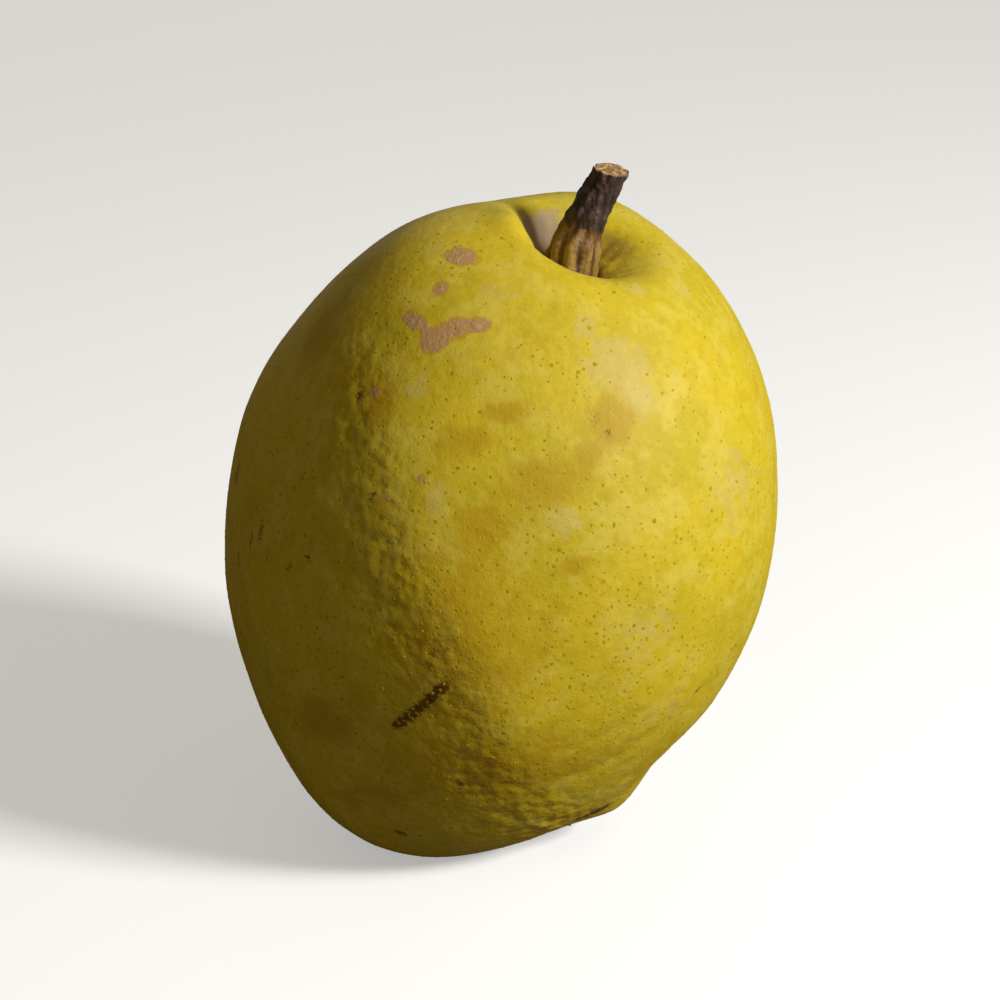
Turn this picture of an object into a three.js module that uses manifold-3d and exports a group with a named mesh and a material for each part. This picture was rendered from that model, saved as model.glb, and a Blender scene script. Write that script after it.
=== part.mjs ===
// A squat, lopsided dessert pear with its cut stem and the dried calyx of its flower.
// It rests on a small flat spot on the lobe beside the calyx basin.
// Millimetres, +Z up. The origin is the middle of the flat spot, the front faces -Y.
// Azimuths turn from the front towards the right (+X), elevations rise from the horizontal.

import Module from 'manifold-3d';
import * as THREE from 'three';
import { mergeVertices } from 'three/addons/utils/BufferGeometryUtils.js';

// ---------- driving dimensions ----------

// The body is an egg-like ellipsoid whose long axis leans to the right.
const BODY = {
  centre: new THREE.Vector3(5.3, 1.5, 46.5),
  halfLength: 47.5,
  halfWidth: 39.5,
  lean: 19,
};

// Soft rises and hollows of the skin: where, how high and how far they spread in degrees.
const LOBES = [
  { name: 'near left shoulder', azimuth: -60, elevation: 72, rise: 2.8, spread: 20 },
  { name: 'far shoulder', azimuth: 138, elevation: 62.5, rise: 3.2, spread: 14 },
  { name: 'right shoulder', azimuth: 105, elevation: 46, rise: 0.8, spread: 14 },
  { name: 'upper left flank', azimuth: -100, elevation: 34, rise: 1.2, spread: 20 },
  { name: 'left foot', azimuth: -48, elevation: -62, rise: 3.5, spread: 21 },
  { name: 'right side', azimuth: 90, elevation: 10, rise: -0.4, spread: 40 },
  { name: 'lower left flank', azimuth: -82, elevation: -20, rise: -0.8, spread: 25 },
  { name: 'resting side', azimuth: 160, elevation: -78, rise: 1.6, spread: 16 },
  { name: 'calyx rim', azimuth: 62, elevation: -66, rise: 2.4, spread: 9 },
  { name: 'over the calyx rim', azimuth: 66, elevation: -50, rise: -1, spread: 9 },
  { name: 'near lip', azimuth: 20, elevation: 82, rise: 0.9, spread: 4.2 },
  { name: 'furrow behind the near lip', azimuth: 103, elevation: 82, rise: -3.6, spread: 4.8 },
];

// The stem cavity: a funnel with a steep lip on one side that runs out shallow on the other.
const CAVITY = {
  azimuth: 62,
  elevation: 76.5,
  depth: 8,
  steepWidth: 6,
  openWidth: 10.5,
  openTurn: 8,
  steepness: 3.2,
};

// Where the foot of the stem sits, and the socket that holds it.
const SOCKET = { azimuth: 68, elevation: 74.5, radius: 3.1, wall: 0.3, depth: 4 };

// The calyx basin at the lower end.
const BASIN = { azimuth: 56, elevation: -74.5, depth: 5.5, width: 5.5, steepness: 2.6 };

// The stem, from the floor of the cavity to its cut end. It leaves the fruit along the
// socket, straightens up and then leans to the right.
const STEM = {
  rise: 15.1,
  reach: 5.4,
  straightRise: 6,
  straightReach: 1.2,
  segments: 20,
  rings: 22,
};

// The radius of the stem at heights above the cavity's floor.
const STEM_PROFILE = [
  { height: 0, radius: 3.0 },
  { height: 2, radius: 3.3 },
  { height: 4.2, radius: 3.3 },
  { height: 7, radius: 2.85 },
  { height: 11, radius: 2.65 },
  { height: 14.5, radius: 2.4 },
  { height: 16.3, radius: 2.45 },
];

// The dried flower parts that stand in the basin: sepals in a ring, stamens inside it.
const SEPALS = { count: 5, ring: 2.4, width: 2.3, thickness: 0.5, length: 3.8, splay: 18 };
const STAMENS = { count: 8, ring: 1.15, radius: 0.2, tipRadius: 0.3, length: 2.6, splay: 8 };

// How finely the skin is divided: segments around, and the spacing of its rings in degrees.
const SKIN = { segments: 56, endSpacing: 1.25, middleSpacing: 4.5, endReach: 34 };

// The air between two pieces that meet.
const GAP = 0.3;

// ---------- colours ----------

const skinYellow = new THREE.MeshStandardMaterial({ color: 0xc4ab28, roughness: 0.5 });
const barkBrown = new THREE.MeshStandardMaterial({ color: 0x4a3826, roughness: 0.85 });
const driedBrown = new THREE.MeshStandardMaterial({ color: 0x3a2a1c, roughness: 0.9 });

// ---------- helpers ----------

const { degToRad, smoothstep, lerp } = THREE.MathUtils;

// The unit vector at an azimuth and an elevation.
function direction(azimuth, elevation) {
  const turn = degToRad(azimuth);
  const rise = degToRad(elevation);
  return new THREE.Vector3(
    Math.cos(rise) * Math.sin(turn),
    -Math.cos(rise) * Math.cos(turn),
    Math.sin(rise),
  );
}

// A closed geometry from one whose seams and poles hold doubled vertices.
function closed(geometry) {
  geometry.deleteAttribute('normal');
  geometry.deleteAttribute('uv');
  const merged = mergeVertices(geometry, 1e-4);
  const index = merged.getIndex().array;
  const kept = [];
  for (let i = 0; i < index.length; i += 3) {
    const [a, b, c] = [index[i], index[i + 1], index[i + 2]];
    if (a !== b && b !== c && c !== a) kept.push(a, b, c);
  }
  merged.setIndex(kept);
  merged.computeVertexNormals();
  return merged;
}

// A closed geometry as a solid that can be cut, and a geometry from such a solid.
const wasm = await Module();
wasm.setup();

function solid(geometry) {
  const vertProperties = new Float32Array(geometry.getAttribute('position').array);
  const triVerts = new Uint32Array(geometry.getIndex().array);
  return new wasm.Manifold(new wasm.Mesh({ numProp: 3, vertProperties, triVerts }));
}

function fromSolid(body) {
  const mesh = body.getMesh();
  const geometry = new THREE.BufferGeometry();
  geometry.setAttribute('position', new THREE.BufferAttribute(mesh.vertProperties, 3));
  geometry.setIndex(new THREE.BufferAttribute(mesh.triVerts, 1));
  geometry.computeVertexNormals();
  return geometry;
}

// A named piece of the pear.
function piece(name, geometry, material) {
  const mesh = new THREE.Mesh(geometry, material);
  mesh.name = name;
  return mesh;
}

// ---------- the fruit ----------

const stemEnd = direction(SOCKET.azimuth, SOCKET.elevation);
const cavityEnd = direction(CAVITY.azimuth, CAVITY.elevation);
const calyxEnd = direction(BASIN.azimuth, BASIN.elevation);
const longAxis = direction(90, 90 - BODY.lean);
const lobes = LOBES.map((lobe) => ({ ...lobe, at: direction(lobe.azimuth, lobe.elevation) }));

// Two directions across an end of the fruit, the first one to the right.
function across(end) {
  const back = new THREE.Vector3().crossVectors(end, new THREE.Vector3(1, 0, 0)).normalize();
  const right = new THREE.Vector3().crossVectors(back, end).normalize();
  return { right, back };
}

const overCavity = across(cavityEnd);

// How deep the stem cavity is, this far from its middle and on this side of it.
function cavityDepth(away, side) {
  const openness = (1 + Math.cos(side - degToRad(CAVITY.openTurn))) / 2;
  const width = lerp(CAVITY.steepWidth, CAVITY.openWidth, openness);
  return CAVITY.depth * Math.exp(-((away / width) ** CAVITY.steepness));
}

// How deep the socket of the stem is below the cavity's floor.
function socketDepth(away) {
  return SOCKET.depth * (1 - smoothstep(away, SOCKET.radius, SOCKET.radius + SOCKET.wall));
}

// How deep the calyx basin is, this far from its middle.
function basinDepth(away) {
  return BASIN.depth * Math.exp(-((away / BASIN.width) ** BASIN.steepness));
}

// The distance of the skin from the body's centre in a direction, with the socket left out.
function skinRadius(towards) {
  const along = towards.dot(longAxis);
  const stretch = (along / BODY.halfLength) ** 2 + (1 - along ** 2) / BODY.halfWidth ** 2;
  let radius = 1 / Math.sqrt(stretch);
  for (const lobe of lobes) {
    const away = towards.angleTo(lobe.at) / degToRad(lobe.spread);
    radius += lobe.rise * Math.exp(-(away ** 2));
  }
  if (towards.dot(stemEnd) > 0) {
    const right = radius * towards.dot(overCavity.right);
    const back = radius * towards.dot(overCavity.back);
    const away = Math.hypot(right, back);
    radius -= cavityDepth(away, Math.atan2(back, right));
  }
  const fromCalyx = BODY.halfLength * Math.sin(Math.min(towards.angleTo(calyxEnd), Math.PI / 2));
  return radius - basinDepth(fromCalyx);
}

// The angles of the skin's rings from the stem end to the calyx end, close together at both.
function ringAngles() {
  const socketRings = [SOCKET.radius, SOCKET.radius + SOCKET.wall];
  const floorRadius = skinRadius(stemEnd);
  const angles = [0, SOCKET.radius / 2, ...socketRings].map((away) => away / floorRadius);
  let angle = angles.at(-1);
  while (angle < Math.PI) {
    const fromEnd = Math.min(angle, Math.PI - angle) / degToRad(SKIN.endReach);
    const spacing = lerp(SKIN.endSpacing, SKIN.middleSpacing, smoothstep(fromEnd, 0.3, 1));
    angle += degToRad(spacing);
    angles.push(angle);
  }
  angles[angles.length - 1] = Math.PI;
  return angles;
}

// The unit sphere bent so that its poles lie at the stem end and at the calyx end.
function bentDirection(point) {
  const upper = new THREE.Quaternion().setFromUnitVectors(new THREE.Vector3(0, 0, 1), stemEnd);
  const lower = new THREE.Quaternion().setFromUnitVectors(new THREE.Vector3(0, 0, -1), calyxEnd);
  const share = smoothstep(point.z, -1, 1);
  return point.clone().applyQuaternion(lower.clone().slerp(upper, share)).normalize();
}

// The whole fruit, flattened where it meets the surface that it rests on.
function fruit() {
  const profile = ringAngles().map((angle) => new THREE.Vector2(Math.sin(angle), -Math.cos(angle)));
  profile[0].x = 0;
  profile.at(-1).x = 0;
  const geometry = new THREE.LatheGeometry(profile, SKIN.segments);
  geometry.rotateX(-Math.PI / 2);
  const floorRadius = skinRadius(stemEnd);
  const positions = geometry.getAttribute('position');
  for (let i = 0; i < positions.count; i += 1) {
    const towards = bentDirection(new THREE.Vector3().fromBufferAttribute(positions, i));
    const radius = skinRadius(towards) - socketDepth(floorRadius * towards.angleTo(stemEnd));
    const point = towards.clone().multiplyScalar(radius).add(BODY.centre);
    positions.setXYZ(i, point.x, point.y, Math.max(point.z, 0));
  }
  return piece('fruit', closed(geometry), skinYellow);
}

// ---------- the stem ----------

// A copy of a closed geometry whose surface has moved outwards.
function swollen(geometry, distance) {
  const copy = geometry.clone();
  const positions = copy.getAttribute('position');
  const normals = copy.getAttribute('normal');
  for (let i = 0; i < positions.count; i += 1) {
    const normal = new THREE.Vector3().fromBufferAttribute(normals, i);
    const point = new THREE.Vector3().fromBufferAttribute(positions, i);
    point.addScaledVector(normal, distance);
    positions.setXYZ(i, point.x, point.y, point.z);
  }
  return copy;
}

// The radius of the stem at a height above the cavity's floor.
function stemRadius(height) {
  const last = STEM_PROFILE.at(-1);
  const upper = STEM_PROFILE.find((step) => step.height >= height) ?? last;
  const lower = STEM_PROFILE[Math.max(STEM_PROFILE.indexOf(upper) - 1, 0)];
  const share = smoothstep(height, lower.height, Math.max(upper.height, lower.height + GAP));
  return lerp(lower.radius, upper.radius, share);
}

// The middle line of the stem, from the bottom of its tenon to its cut end.
function stemLine() {
  const floor = stemEnd.clone().multiplyScalar(skinRadius(stemEnd)).add(BODY.centre);
  const tenon = SOCKET.depth - 2 * GAP;
  return new THREE.CatmullRomCurve3([
    floor.clone().addScaledVector(stemEnd, -tenon),
    floor,
    floor.clone().add(new THREE.Vector3(STEM.straightReach, 0, STEM.straightRise)),
    floor.clone().add(new THREE.Vector3(STEM.reach, 0, STEM.rise)),
  ], false, 'centripetal');
}

// The stem: a round profile swept along its line, its foot trimmed clear of the fruit.
function stem(fruitMesh) {
  const line = stemLine();
  const length = line.getLength();
  const tenon = SOCKET.depth - 2 * GAP;
  const tenonRadius = SOCKET.radius - GAP;
  const profile = [new THREE.Vector2(0, 0)];
  for (let ring = 0; ring <= STEM.rings; ring += 1) {
    const along = (length * ring) / STEM.rings;
    const radius = along < tenon ? tenonRadius : stemRadius(along - tenon);
    profile.push(new THREE.Vector2(radius, along));
  }
  profile.push(new THREE.Vector2(0, length));
  const geometry = new THREE.LatheGeometry(profile, STEM.segments);
  const positions = geometry.getAttribute('position');
  const back = new THREE.Vector3(0, 1, 0);
  for (let i = 0; i < positions.count; i += 1) {
    const share = THREE.MathUtils.clamp(positions.getY(i) / length, 0, 1);
    const tangent = line.getTangentAt(share);
    const side = new THREE.Vector3().crossVectors(back, tangent).normalize();
    const depth = new THREE.Vector3().crossVectors(tangent, side);
    const point = line.getPointAt(share);
    point.addScaledVector(side, positions.getX(i)).addScaledVector(depth, -positions.getZ(i));
    positions.setXYZ(i, point.x, point.y, point.z);
  }
  const whole = solid(closed(geometry));
  const trimmed = whole.subtract(solid(swollen(fruitMesh.geometry, GAP)));
  return piece('stem', fromSolid(trimmed), barkBrown);
}

// ---------- the calyx ----------

// A dried sepal: a flat almond that narrows to its tip and curls outwards.
function sepalGeometry() {
  const geometry = new THREE.SphereGeometry(0.5, 10, 8);
  geometry.scale(SEPALS.width, SEPALS.length, SEPALS.thickness);
  geometry.translate(0, SEPALS.length / 2, 0);
  geometry.rotateX(Math.PI / 2);
  const positions = geometry.getAttribute('position');
  for (let i = 0; i < positions.count; i += 1) {
    const share = positions.getZ(i) / SEPALS.length;
    const narrowing = 1 - share ** 2 / 2;
    const curl = share ** 2 * SEPALS.thickness * 2;
    positions.setX(i, positions.getX(i) * narrowing);
    positions.setY(i, positions.getY(i) - curl);
  }
  return closed(geometry);
}

// A withered stamen: a thin thread with a thicker end.
function stamenGeometry() {
  const { radius, tipRadius, length } = STAMENS;
  const profile = [
    new THREE.Vector2(0, 0),
    new THREE.Vector2(radius, 0),
    new THREE.Vector2(radius, length - 3 * tipRadius),
    new THREE.Vector2(tipRadius, length - 2 * tipRadius),
    new THREE.Vector2(tipRadius, length - tipRadius),
    new THREE.Vector2(0, length),
  ];
  return closed(new THREE.LatheGeometry(profile, 8).rotateX(Math.PI / 2));
}

// One dried piece, standing just clear of the basin's floor and leaning out from its middle.
function driedPiece(name, geometry, turn, ring, splay) {
  const mesh = piece(name, geometry, driedBrown);
  const floorRise = BASIN.depth - basinDepth(ring + GAP);
  mesh.position.set(0, -ring, floorRise + 2 * GAP);
  mesh.rotation.x = degToRad(splay);
  const around = new THREE.Group();
  around.rotation.z = turn;
  around.add(mesh);
  return around;
}

// The calyx, its +Z pointing out of the basin.
function calyx() {
  const group = new THREE.Group();
  group.position.copy(calyxEnd).multiplyScalar(skinRadius(calyxEnd)).add(BODY.centre);
  group.quaternion.setFromUnitVectors(new THREE.Vector3(0, 0, 1), calyxEnd);
  for (let i = 0; i < SEPALS.count; i += 1) {
    const turn = (2 * Math.PI * i) / SEPALS.count;
    group.add(driedPiece(`sepal_${i + 1}`, sepalGeometry(), turn, SEPALS.ring, SEPALS.splay));
  }
  for (let i = 0; i < STAMENS.count; i += 1) {
    const turn = (2 * Math.PI * (i + 0.5)) / STAMENS.count;
    group.add(driedPiece(`stamen_${i + 1}`, stamenGeometry(), turn, STAMENS.ring, STAMENS.splay));
  }
  return group;
}

// ---------- the pear ----------

const pear = new THREE.Group();
const fruitMesh = fruit();
pear.add(fruitMesh);
pear.add(stem(fruitMesh));
pear.add(calyx());

export default pear;
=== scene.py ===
"""The looks of a ripe dessert pear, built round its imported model.

The skin, its specks and marks, the stem and the dried calyx each have an operator, and so
has the stage. Azimuths turn from the front (-Y) towards the right (+X) and elevations rise
from the horizontal, both seen from the middle of the fruit.
"""

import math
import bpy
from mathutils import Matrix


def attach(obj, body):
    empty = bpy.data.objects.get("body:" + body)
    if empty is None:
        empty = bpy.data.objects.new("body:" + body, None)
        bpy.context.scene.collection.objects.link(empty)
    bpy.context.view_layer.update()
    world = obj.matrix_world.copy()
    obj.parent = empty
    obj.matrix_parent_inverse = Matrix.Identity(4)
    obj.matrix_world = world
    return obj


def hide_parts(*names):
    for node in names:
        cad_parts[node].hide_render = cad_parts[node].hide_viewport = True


bl_info = {
    "name": "Dessert Pear",
    "version": (1, 0, 0),
    "blender": (4, 5, 0),
    "location": "View3D > Sidebar > Pear",
    "description": "Builds the skin, stem, calyx and stage of a ripe dessert pear",
    "category": "Object",
}

from collections import namedtuple

import bmesh
import bpy
import numpy as np
from bpy.props import FloatProperty, FloatVectorProperty, IntProperty, PointerProperty
from mathutils import Vector, noise

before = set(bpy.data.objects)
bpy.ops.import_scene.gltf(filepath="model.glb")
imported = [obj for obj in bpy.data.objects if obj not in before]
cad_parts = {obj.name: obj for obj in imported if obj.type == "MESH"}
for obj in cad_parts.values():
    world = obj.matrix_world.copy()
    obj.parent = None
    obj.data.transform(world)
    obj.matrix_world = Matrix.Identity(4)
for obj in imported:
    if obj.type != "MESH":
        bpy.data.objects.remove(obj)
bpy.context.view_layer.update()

MM = 0.001
BODY = "root"
MIDDLE = Vector((5.3, 1.5, 46.5)) * MM
REACH = 41 * MM

# A mark's sizes and a stroke's width are in millimetres along the skin.
Mark = namedtuple("Mark", "azimuth elevation width height turn strength")
Stroke = namedtuple("Stroke", "places width strength")
Lamp = namedtuple("Lamp", "name size azimuth elevation distance colour")

# Corky tan patches near the stem.
RUSSET = (
    Mark(-19, 70.5, 2.5, 1.5, -8, 1.0),
    Mark(-23, 63.5, 1.3, 1.2, 30, 0.85),
    Mark(-20, 54, 2.2, 1.9, -20, 1.0),
    Mark(-28, 57, 2.2, 1.2, -15, 0.95),
    Mark(-13, 56.5, 2.6, 1.5, 5, 1.0),
    Mark(-7.5, 57, 1.7, 1.2, 10, 0.9),
    Mark(-4, 57, 0.8, 0.7, 0, 0.8),
    Mark(-24, 23.6, 1.5, 0.55, -8, 0.85),
    Mark(-16.5, 28, 0.7, 1.3, 10, 0.7),
    Mark(-33, 43, 1.2, 1.0, 20, 0.7),
    Mark(140, 40, 3.2, 1.8, 20, 0.9),
    Mark(-120, 55, 2.4, 1.4, -15, 0.9),
    Mark(-165, 30, 1.6, 2.2, 20, 0.8),
)

# Deep yellow blotches where the flesh is ripest.
OCHRE = (
    Mark(26, 37, 3.6, 4.2, -35, 1.0),
    Mark(20, 33, 4.0, 3.0, 10, 0.8),
    Mark(9, 28, 6.5, 3.8, 15, 1.0),
    Mark(-3, 20, 4.6, 3.2, 0, 1.0),
    Mark(1, 41, 3.4, 2.2, 0, 0.9),
    Mark(-6.5, 36, 4.2, 2.4, 0, 0.9),
    Mark(-31, 42, 3.4, 4.0, 20, 1.0),
    Mark(-42, 45, 3.0, 4.5, 20, 0.8),
    Mark(-8, 8, 6.0, 7.0, -20, 0.75),
    Mark(-4, -8, 6.0, 7.0, 0, 0.7),
    Mark(3, -36, 8.0, 5.0, 10, 0.6),
    Mark(14, 12, 3.5, 2.0, 20, 0.8),
    Mark(-6, -2, 15.0, 20.0, 0, 0.68),
    Mark(2, -34, 18.0, 12.0, 0, 0.68),
    Mark(-40, -25, 7.0, 5.0, 0, 0.8),
    Mark(-32, -42, 8.0, 4.0, 20, 0.7),
    Mark(48, -38, 3.0, 9.0, -35, 0.55),
    Mark(-65, 50, 5.0, 6.0, 0, 0.8),
    Mark(150, 5, 8.0, 6.0, 30, 0.8),
    Mark(-150, -15, 7.0, 8.0, 0, 0.8),
    Mark(100, -30, 6.0, 4.0, 0, 0.7),
    Mark(-110, 15, 6.0, 5.0, 0, 0.7),
    Mark(120, 50, 5.0, 5.0, 0, 0.7),
)

# Pale waxy bloom that was not rubbed off, with a painted sheen where the upper right of the front faces
# the light.
BLOOM_AND_SHEEN = (
    Mark(31, 47, 5.0, 4.4, -20, 1.0),
    Mark(34, 41, 3.0, 3.0, 0, 0.9),
    Mark(51, 59, 1.6, 1.1, -25, 1.0),
    Mark(26, 55, 2.0, 2.4, 20, 0.9),
    Mark(70, 55, 3.0, 2.4, 20, 0.6),
    Mark(0, 64, 5.0, 3.0, 0, 0.55),
    Mark(-22, 45, 4.0, 2.5, 15, 0.6),
    Mark(13, 21, 2.6, 3.0, 20, 0.9),
    Mark(55, 20, 8.0, 9.0, 0, 0.6),
    Mark(30, -5, 8.0, 7.0, 0, 0.55),
    Mark(40, -24, 6.0, 5.0, 0, 0.5),
    Mark(-12, 24, 3.0, 4.0, 0, 0.6),
    Mark(170, 30, 6.0, 5.0, 0, 0.8),
    Mark(-160, 20, 5.0, 7.0, 0, 0.6),
)

# Dark red-brown stains round small scars.
STAIN = (
    Mark(-37, 42, 1.2, 1.4, 0, 0.66),
    Mark(-27, 24, 1.1, 0.9, 0, 0.68),
    Mark(-9.5, -37, 0.6, 1.7, 10, 0.8),
    Mark(24, 35.5, 0.9, 0.8, 0, 0.6),
    Mark(22, 38, 0.7, 1.6, -20, 0.5),
    Mark(-57.5, 10, 0.8, 2.8, 0, 0.62),
    Mark(-61, 7, 0.8, 1.8, 0, 0.6),
    Mark(-67, 2, 0.8, 2.2, 0, 0.62),
    Mark(-77, 16, 1.3, 2.4, 0, 0.65),
    Mark(-54, 5, 1.0, 1.2, 0, 0.58),
    Mark(-41.5, 9, 1.0, 1.2, 20, 0.58),
    Mark(-47, 6, 1.5, 1.0, 0, 0.55),
    Mark(49, -23, 1.2, 0.5, 30, 0.85),
    Mark(60, -17, 0.7, 1.1, -20, 0.7),
    Mark(62, 13, 0.5, 1.4, -15, 0.55),
    Mark(-29, -52, 1.1, 0.7, -40, 0.8),
    Mark(38, -60, 3.4, 1.3, 15, 1.0),
    Mark(-175, -10, 4.0, 0.9, 30, 0.8),
    Mark(120, 12, 1.2, 2.4, 0, 0.7),
    Mark(-140, 8, 0.9, 1.6, 0, 0.8),
)

# Scratches that healed with a hatched, dark scab.
SCRATCH = (
    Stroke(((-21.6, -22.4), (-16, -17.5), (-10.7, -11.8)), 0.85, 1.0),
    Stroke(((158, -32), (166, -26), (170, -18)), 0.6, 0.9),
)

# Shallow soft creases where the flesh has shrunk.
CREASES = (
    Stroke(((51, -24), (47, -34), (40, -46)), 1.6, 1.0),
    Stroke(((36, -30), (28, -36), (18, -38)), 0.9, 0.6),
    Stroke(((31, -23), (24, -27), (14, -29)), 0.9, 0.5),
    Stroke(((-130, -30), (-122, -42), (-110, -50)), 1.6, 0.8),
)

# The blunt crest from the stem's side down to the calyx, and the wrinkled flank beside it.
CREST = Stroke(((-29, 46), (-20, 24), (-14, 10), (-7, -3), (4, -26), (18, -41)), 7.0, 1.0)
FLANK = (
    Stroke(((-44, 44), (-33, 32), (-27, 20), (-21, 7), (-13, -5)), 6.0, 1.0),
    Stroke(((-6, -20), (-3, -32), (4, -44), (18, -56)), 6.5, 1.0),
    Stroke(((-120, 20), (-125, -10), (-110, -40)), 8.0, 0.8),
    Stroke(((130, -10), (140, -30), (120, -48)), 8.0, 0.8),
)

# The part of the front where the specks stand closest.
SPECKLED = (Mark(-6, 2, 14, 18, 0, 1.0),)

# Tan places and painted shade on the walls of the stem cavity, and how far they lie from the middle.
FAR_WALL = (106, 81)
SHADED_RIGHT_WALL = (90, 69)
WALL_REACH = 44 * MM

# How many slices the stem is cut into to find where its middle runs.
SLICES = 24

# The lamps' sizes and distances are in metres.
KEY_LAMP = Lamp("key", 0.17, 60, 30, 0.8, (1.0, 1.0, 1.0))
FILL_LAMP = Lamp("fill", 1.0, -34, 29, 1.2, (1.0, 0.86, 0.6))
BACK_LAMP = Lamp("back", 1.2, 185, 20, 1.2, (1.0, 1.0, 1.0))

# Patches of other yellows: their size, cover, softness of edge, strength and colour.
SKIN_PATCHES = (
    (6 * MM, 0.46, 0.06, 0.6, (0.68, 0.54, 0.07, 1)),
    (4 * MM, 0.40, 0.05, 0.5, (0.56, 0.385, 0.008, 1)),
    (1.9 * MM, 0.44, 0.06, 0.4, (0.69, 0.545, 0.045, 1)),
    (1.1 * MM, 0.42, 0.10, 0.30, (0.50, 0.345, 0.008, 1)),
)

# Colours of the finer markings, of the painted shade and highlights, and of the dried parts.
DOT_HALO = (0.50, 0.44, 0.010, 1)
DARK_CORK = (0.38, 0.265, 0.003, 1)
LIGHT_CORK = (0.57, 0.435, 0.005, 1)
RUSSET_RIM = (0.50, 0.235, 0.030, 1)
RUSSET_FLAKE = (0.60, 0.42, 0.27, 1)
CAVITY_TAN = (0.46, 0.34, 0.235, 1)
# Painted shade: dark brown on the cavity's right wall and towards the stem's foot.
CAVITY_SHADE = (0.24, 0.14, 0.022, 1)
# Painted shade: the near-black ring where the stem goes into the fruit.
CREVICE_SHADE = (0.045, 0.012, 0.006, 1)
BARK_STREAK = (0.075, 0.036, 0.026, 1)
# Grey on the bark's raised wrinkles, partly a painted highlight.
BARK_GREY_AND_HIGHLIGHT = (0.23, 0.185, 0.145, 1)
FOOT_STREAK = (0.20, 0.105, 0.014, 1)
FOOT_PALE = (0.46, 0.31, 0.09, 1)
# Painted shade in the grooves of the stem's foot.
FOOT_GROOVE_SHADE = (0.060, 0.022, 0.006, 1)
FOOT_EDGE = (0.13, 0.050, 0.012, 1)
CUT_RING = (0.30, 0.15, 0.055, 1)
PITH = (0.22, 0.11, 0.04, 1)
DRIED_DARK = (0.022, 0.013, 0.008, 1)
DRIED_PALE = (0.10, 0.062, 0.035, 1)


# ---------- settings ----------

class SkinSettings(bpy.types.PropertyGroup):
    """Sizes and colours of the skin."""

    levels: IntProperty(
        name="Subdivision", description="How often the skin's faces are halved", default=2, min=1, max=3)
    swell: FloatProperty(
        name="Swell", description="Height of the broad unevenness of the skin",
        default=0.2 * MM, unit="LENGTH")
    dent: FloatProperty(
        name="Dent", description="Depth of the small hammered dents", default=0.34 * MM, unit="LENGTH")
    crest: FloatProperty(
        name="Crest", description="Height of the blunt crest down the front",
        default=0.8 * MM, unit="LENGTH")
    crease: FloatProperty(
        name="Crease", description="Depth of the creases, and of the folds at the stem cavity",
        default=0.22 * MM, unit="LENGTH")
    yellow: FloatVectorProperty(
        name="Yellow", description="Main colour of the ripe skin", subtype="COLOR", size=4,
        default=(0.65, 0.480, 0.018, 1), min=0, max=1)
    green: FloatVectorProperty(
        name="Green", description="Colour where the skin is least ripe", subtype="COLOR", size=4,
        default=(0.56, 0.435, 0.014, 1), min=0, max=1)
    ochre: FloatVectorProperty(
        name="Ochre", description="Colour of the ripest blotches", subtype="COLOR", size=4,
        default=(0.50, 0.315, 0.006, 1), min=0, max=1)
    bloom_and_sheen: FloatVectorProperty(
        name="Bloom", description="Colour of the waxy bloom", subtype="COLOR", size=4,
        default=(0.60, 0.475, 0.14, 1), min=0, max=1)
    russet: FloatVectorProperty(
        name="Russet", description="Colour of the corky patches", subtype="COLOR", size=4,
        default=(0.50, 0.27, 0.115, 1), min=0, max=1)
    stain: FloatVectorProperty(
        name="Stain", description="Colour of the stains round the scars", subtype="COLOR", size=4,
        default=(0.085, 0.018, 0.004, 1), min=0, max=1)


class SpeckSettings(bpy.types.PropertyGroup):
    """How large, how close and how the corky specks are strewn."""

    spacing: FloatProperty(
        name="Spacing", description="Least distance between two specks", default=0.75 * MM, unit="LENGTH")
    density: FloatProperty(
        name="Density", description="Most specks on a square metre of skin", default=600000)
    smallest: FloatProperty(
        name="Smallest", description="Radius of the smallest speck", default=0.12 * MM, unit="LENGTH")
    largest: FloatProperty(
        name="Largest", description="Radius of the largest speck", default=0.33 * MM, unit="LENGTH")
    seed: IntProperty(name="Seed", description="Seed of the scatter", default=11)


class StemSettings(bpy.types.PropertyGroup):
    """Sizes and colours of the stem."""

    grain: FloatProperty(
        name="Grain", description="Size of the stem's smallest faces", default=0.14 * MM, unit="LENGTH")
    ridge: FloatProperty(
        name="Ridge", description="Height of the ridges at the foot", default=0.34 * MM, unit="LENGTH")
    wrinkle: FloatProperty(
        name="Wrinkle", description="Height of the wrinkles in the bark", default=0.2 * MM, unit="LENGTH")
    bark: FloatVectorProperty(
        name="Bark", description="Colour of the dry bark", subtype="COLOR", size=4,
        default=(0.020, 0.012, 0.010, 1), min=0, max=1)
    foot: FloatVectorProperty(
        name="Foot", description="Colour of the living foot", subtype="COLOR", size=4,
        default=(0.34, 0.20, 0.028, 1), min=0, max=1)
    cut: FloatVectorProperty(
        name="Cut", description="Colour of the cut face", subtype="COLOR", size=4,
        default=(0.60, 0.38, 0.17, 1), min=0, max=1)


class StageSettings(bpy.types.PropertyGroup):
    """The floor, the lights and the camera."""

    distance: FloatProperty(
        name="Distance", description="From the camera to the fruit", default=0.402, unit="LENGTH")
    height: FloatProperty(
        name="Height", description="Angle of the camera above the horizontal",
        default=math.radians(20), subtype="ANGLE")
    aim: FloatProperty(
        name="Aim", description="How far above the fruit's middle the camera looks",
        default=3.62 * MM, unit="LENGTH")
    key: FloatProperty(name="Key", description="Power of the main light in watts", default=7.0)
    fill: FloatProperty(name="Fill", description="Power of the weak light in watts", default=0.55)
    back: FloatProperty(name="Back", description="Power of the light behind in watts", default=1.4)


# ---------- helpers for meshes ----------

def direction(azimuth, elevation):
    """The unit vector at an azimuth and an elevation in degrees."""
    turn = math.radians(azimuth)
    rise = math.radians(elevation)
    return Vector((
        math.cos(rise) * math.sin(turn),
        -math.cos(rise) * math.cos(turn),
        math.sin(rise),
    ))


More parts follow.
